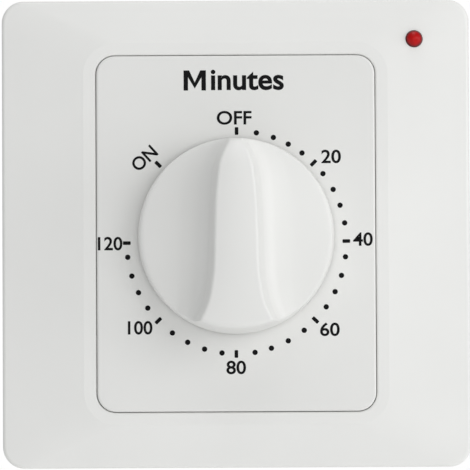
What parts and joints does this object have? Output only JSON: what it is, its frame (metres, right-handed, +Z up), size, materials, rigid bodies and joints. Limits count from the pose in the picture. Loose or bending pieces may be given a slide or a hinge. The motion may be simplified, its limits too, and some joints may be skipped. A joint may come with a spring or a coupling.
{
  "type": "wall countdown timer",
  "caption": "Square flush wall timer: clockwork countdown dial knob, clip-on cover frame, indicator light and rear terminal housing.",
  "frame": {"origin": "centre of the square plate and of its two wall screws, on the wall's face", "axes": "+X to the right as seen from the room, +Y into the wall, +Z up"},
  "size_m": [0.086, 0.0633, 0.086],
  "materials": {
    "cover_white": "satin moulded",
    "panel_white": "satin moulded, dial printed in black",
    "knob_white": "satin moulded",
    "frame_white": "fine moulded",
    "housing_white": "fine sparked moulding",
    "block_white": "fine moulded",
    "cam_white": "natural acetal",
    "strip_brass": "stamped",
    "wheel_brass": "stamped and toothed",
    "plate_brass": "stamped",
    "leaf_bronze": "rolled spring bronze",
    "contact_silver": "pressed silver alloy",
    "screw_nickel": "nickel plated",
    "screw_zinc": "zinc plated",
    "washer_zinc": "zinc plated",
    "shaft_steel": "turned",
    "spring_steel": "rolled and tempered",
    "anchor_steel": "stamped",
    "lamp_red": "clear red epoxy",
    "board_tan": "paper laminate",
    "resistor_tan": "lacquered with colour bands",
    "diode_black": "moulded"
  },
  "bodies": {
    "base": {"cover_frame": "cover_white", "mounting_frame": "frame_white", "dial_panel": "panel_white", "rear_housing": "housing_white", "terminal_block": "block_white", "load_strip": "strip_brass", "live_strip": "strip_brass", "neutral_strip": "strip_brass", "moving_leaf": "leaf_bronze", "moving_contact": "contact_silver", "fixed_contact": "contact_silver", "leaf_rivet": "strip_brass", "terminal_screws": "screw_nickel", "clamp_washers": "washer_zinc", "block_screws": "screw_zinc", "housing_screws": "screw_zinc", "front_plate": "plate_brass", "back_plate": "plate_brass", "pillars": "plate_brass", "back_plate_screws": "screw_zinc", "front_plate_screws": "screw_zinc", "movement_screws": "screw_zinc", "mainspring": "spring_steel", "indicator_led": "lamp_red", "led_board": "board_tan", "led_resistor": "resistor_tan", "led_diode": "diode_black"},
    "knob": {"knob": "knob_white", "knob_clip": "spring_steel", "main_shaft": "shaft_steel", "great_wheel": "wheel_brass", "clutch_washer": "spring_steel", "shaft_clip": "spring_steel", "switch_cam": "cam_white"},
    "second_arbor": {"second_pinion": "shaft_steel", "second_wheel": "wheel_brass"},
    "third_arbor": {"third_pinion": "shaft_steel", "third_wheel": "wheel_brass"},
    "escape_arbor": {"escape_pinion": "shaft_steel", "escape_wheel": "wheel_brass"},
    "anchor": {"anchor_arbor": "shaft_steel", "anchor": "anchor_steel", "inertia_bar": "wheel_brass"}
  },
  "joints": [
    {"name": "knob_turn", "type": "hinge", "parent": "base", "child": "knob", "pos_m": [0, 0, -0.0005], "axis": [0, 1, 0], "range_deg": [-45, 270], "deforming": ["mainspring", "moving_leaf", "moving_contact"]},
    {"name": "second_arbor_turn", "type": "hinge", "parent": "base", "child": "second_arbor", "pos_m": [-0.01031, 0, -0.01081], "axis": [0, 1, 0], "continuous": true},
    {"name": "third_arbor_turn", "type": "hinge", "parent": "base", "child": "third_arbor", "pos_m": [-0.00038, 0, -0.016], "axis": [0, 1, 0], "continuous": true},
    {"name": "escape_arbor_turn", "type": "hinge", "parent": "base", "child": "escape_arbor", "pos_m": [0.00819, 0, -0.01401], "axis": [0, 1, 0], "continuous": true},
    {"name": "anchor_rock", "type": "hinge", "parent": "base", "child": "anchor", "pos_m": [0.01347, 0, -0.01003], "axis": [0, 1, 0], "range_deg": [-5, 5]}
  ],
  "couplings": [
    {"joint": "second_arbor_turn", "follows": "knob_turn", "ratio": -8},
    {"joint": "third_arbor_turn", "follows": "knob_turn", "ratio": 72},
    {"joint": "escape_arbor_turn", "follows": "knob_turn", "ratio": -720}
  ]
}
